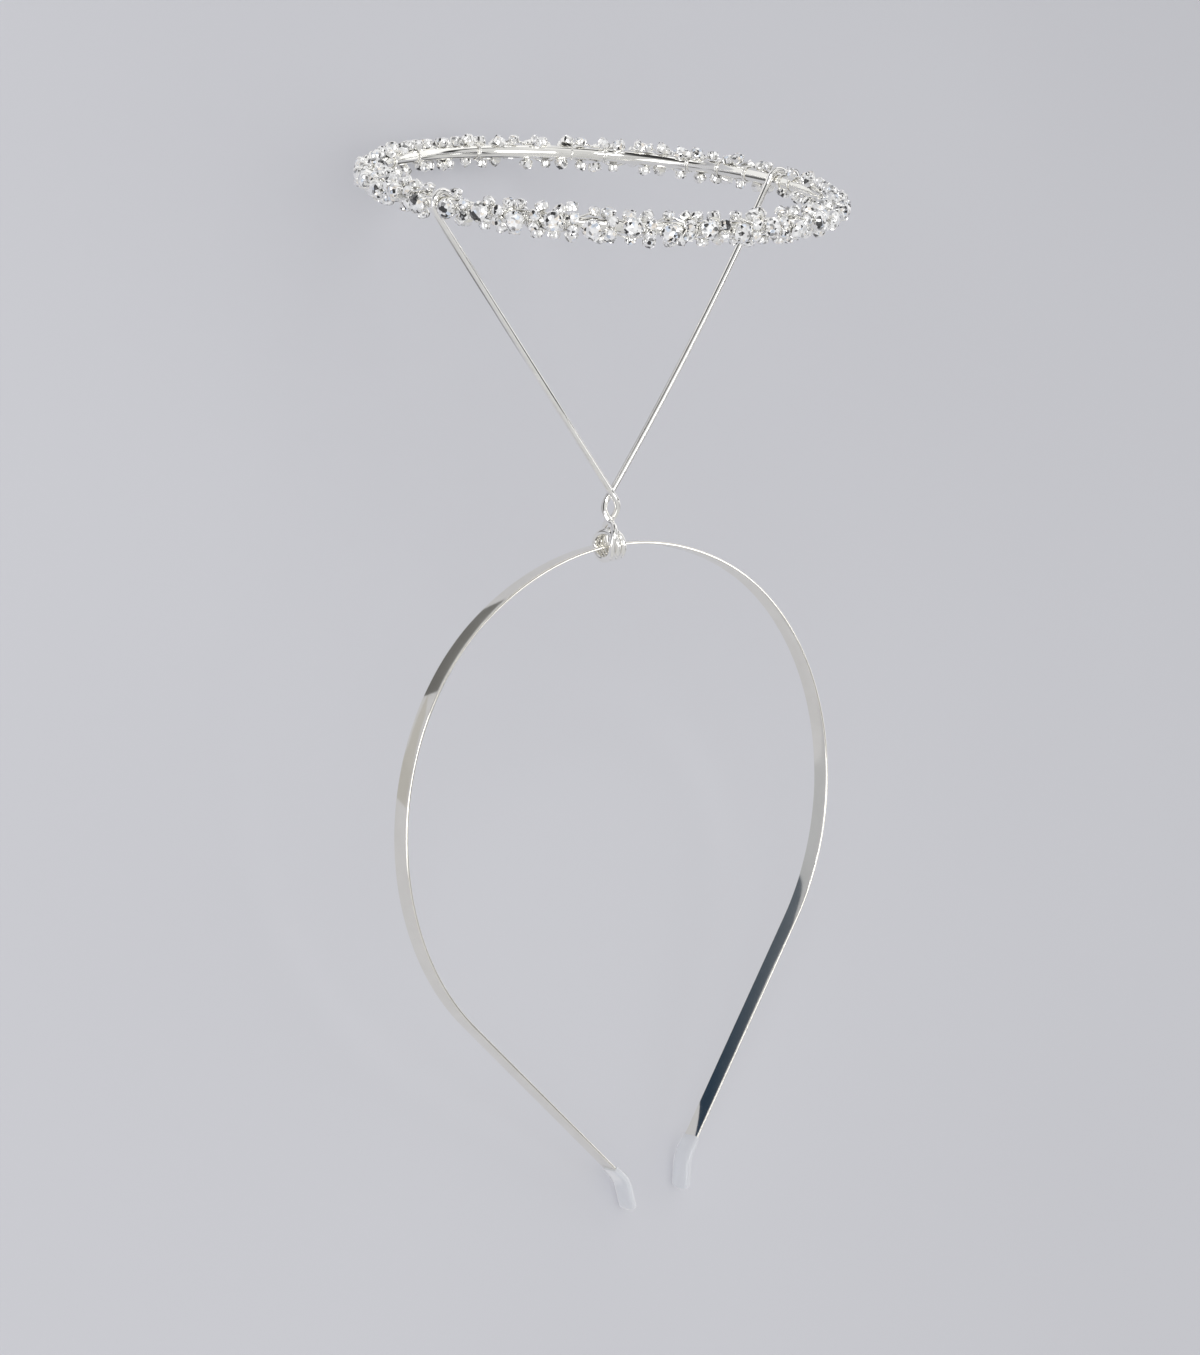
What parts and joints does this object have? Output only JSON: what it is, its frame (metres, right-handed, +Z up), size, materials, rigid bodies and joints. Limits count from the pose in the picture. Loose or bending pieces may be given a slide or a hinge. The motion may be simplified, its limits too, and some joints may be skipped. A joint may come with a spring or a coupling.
{
  "type": "halo headband",
  "caption": "Rigid metal headband whose wire stem twists up from a coil into a V and holds a round halo set with cut stones above the head.",
  "frame": {"origin": "centre of the bounding box on the surface that the headband lies on: both sleeves and the back of the halo rest on it", "axes": "+Z up from that surface, +Y from the open ends of the strip towards the halo, +X across the head towards the right limb"},
  "size_m": [0.132, 0.2436, 0.1001],
  "materials": {
    "strip_metal": "polished silver-coloured strip",
    "wire_metal": "silver-plated wire, slightly satin",
    "ring_metal": "polished silver-coloured tube",
    "crystal": "clear foil-backed cut glass in bright metal cups",
    "clear_sleeve": "clear soft plastic"
  },
  "bodies": {
    "root": {"headband": "strip_metal", "tip_left": "clear_sleeve", "tip_right": "clear_sleeve", "stem_wire": "wire_metal", "halo_ring": "ring_metal", "halo_stone_01": "crystal", "halo_stone_02": "crystal", "halo_stone_03": "crystal", "halo_stone_04": "crystal", "halo_stone_05": "crystal", "halo_stone_06": "crystal", "halo_stone_07": "crystal", "halo_stone_08": "crystal", "halo_stone_09": "crystal", "halo_stone_10": "crystal", "halo_stone_11": "crystal", "halo_stone_12": "crystal", "halo_stone_13": "crystal", "halo_stone_14": "crystal", "halo_stone_15": "crystal", "halo_stone_16": "crystal", "halo_stone_17": "crystal", "halo_stone_18": "crystal", "halo_stone_19": "crystal", "halo_stone_20": "crystal", "halo_stone_21": "crystal", "halo_stone_22": "crystal", "halo_stone_23": "crystal", "halo_stone_24": "crystal", "halo_stone_25": "crystal", "halo_stone_26": "crystal", "halo_stone_27": "crystal", "halo_stone_28": "crystal", "halo_stone_29": "crystal", "halo_stone_30": "crystal", "halo_stone_31": "crystal", "halo_stone_32": "crystal", "halo_stone_33": "crystal", "halo_stone_34": "crystal", "halo_stone_35": "crystal", "halo_stone_36": "crystal", "halo_stone_37": "crystal", "halo_stone_38": "crystal", "halo_stone_39": "crystal", "halo_stone_40": "crystal", "stone_chain_back": "crystal", "stone_chain_front": "crystal"}
  },
  "joints": []
}
